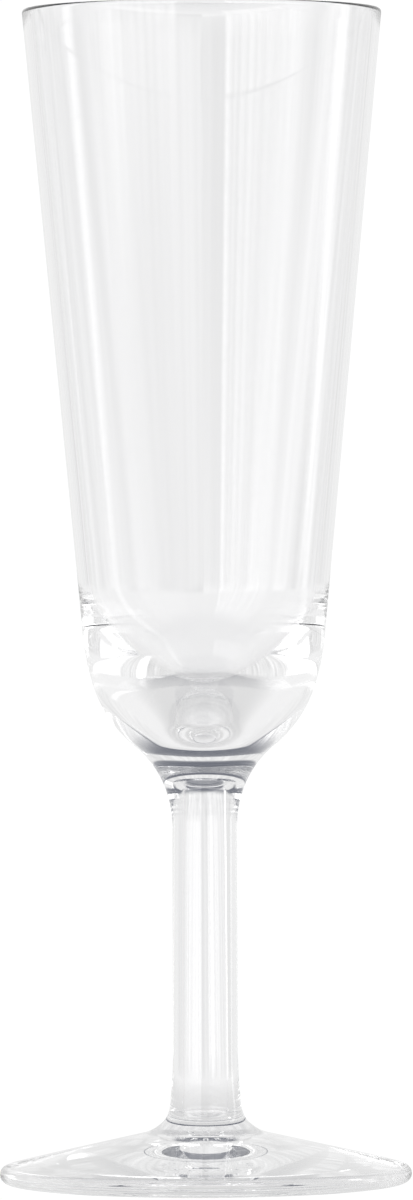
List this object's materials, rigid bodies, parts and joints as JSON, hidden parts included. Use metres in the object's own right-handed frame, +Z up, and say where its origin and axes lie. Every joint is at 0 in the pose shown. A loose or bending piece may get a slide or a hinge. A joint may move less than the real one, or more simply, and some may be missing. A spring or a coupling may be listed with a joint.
{
  "type": "champagne flute",
  "caption": "Clear moulded drinking flute: a tall narrow conical bowl on a slender hollow stem, with a wide round foot that it stands on.",
  "frame": {"origin": "on the axis of revolution, in the plane that the foot stands on", "axes": "+Z up along the axis from the foot to the lip; +X and +Y are square to it and equivalent, apart from the small ring of raised marks under the foot"},
  "size_m": [0.0684, 0.0684, 0.195],
  "materials": {
    "clear_bowl": "clear polished polycarbonate, moulded",
    "clear_foot": "clear polished polycarbonate, moulded, with faint flow lines"
  },
  "bodies": {
    "root": {"bowl_and_stem": "clear_bowl", "foot": "clear_foot"}
  },
  "joints": []
}
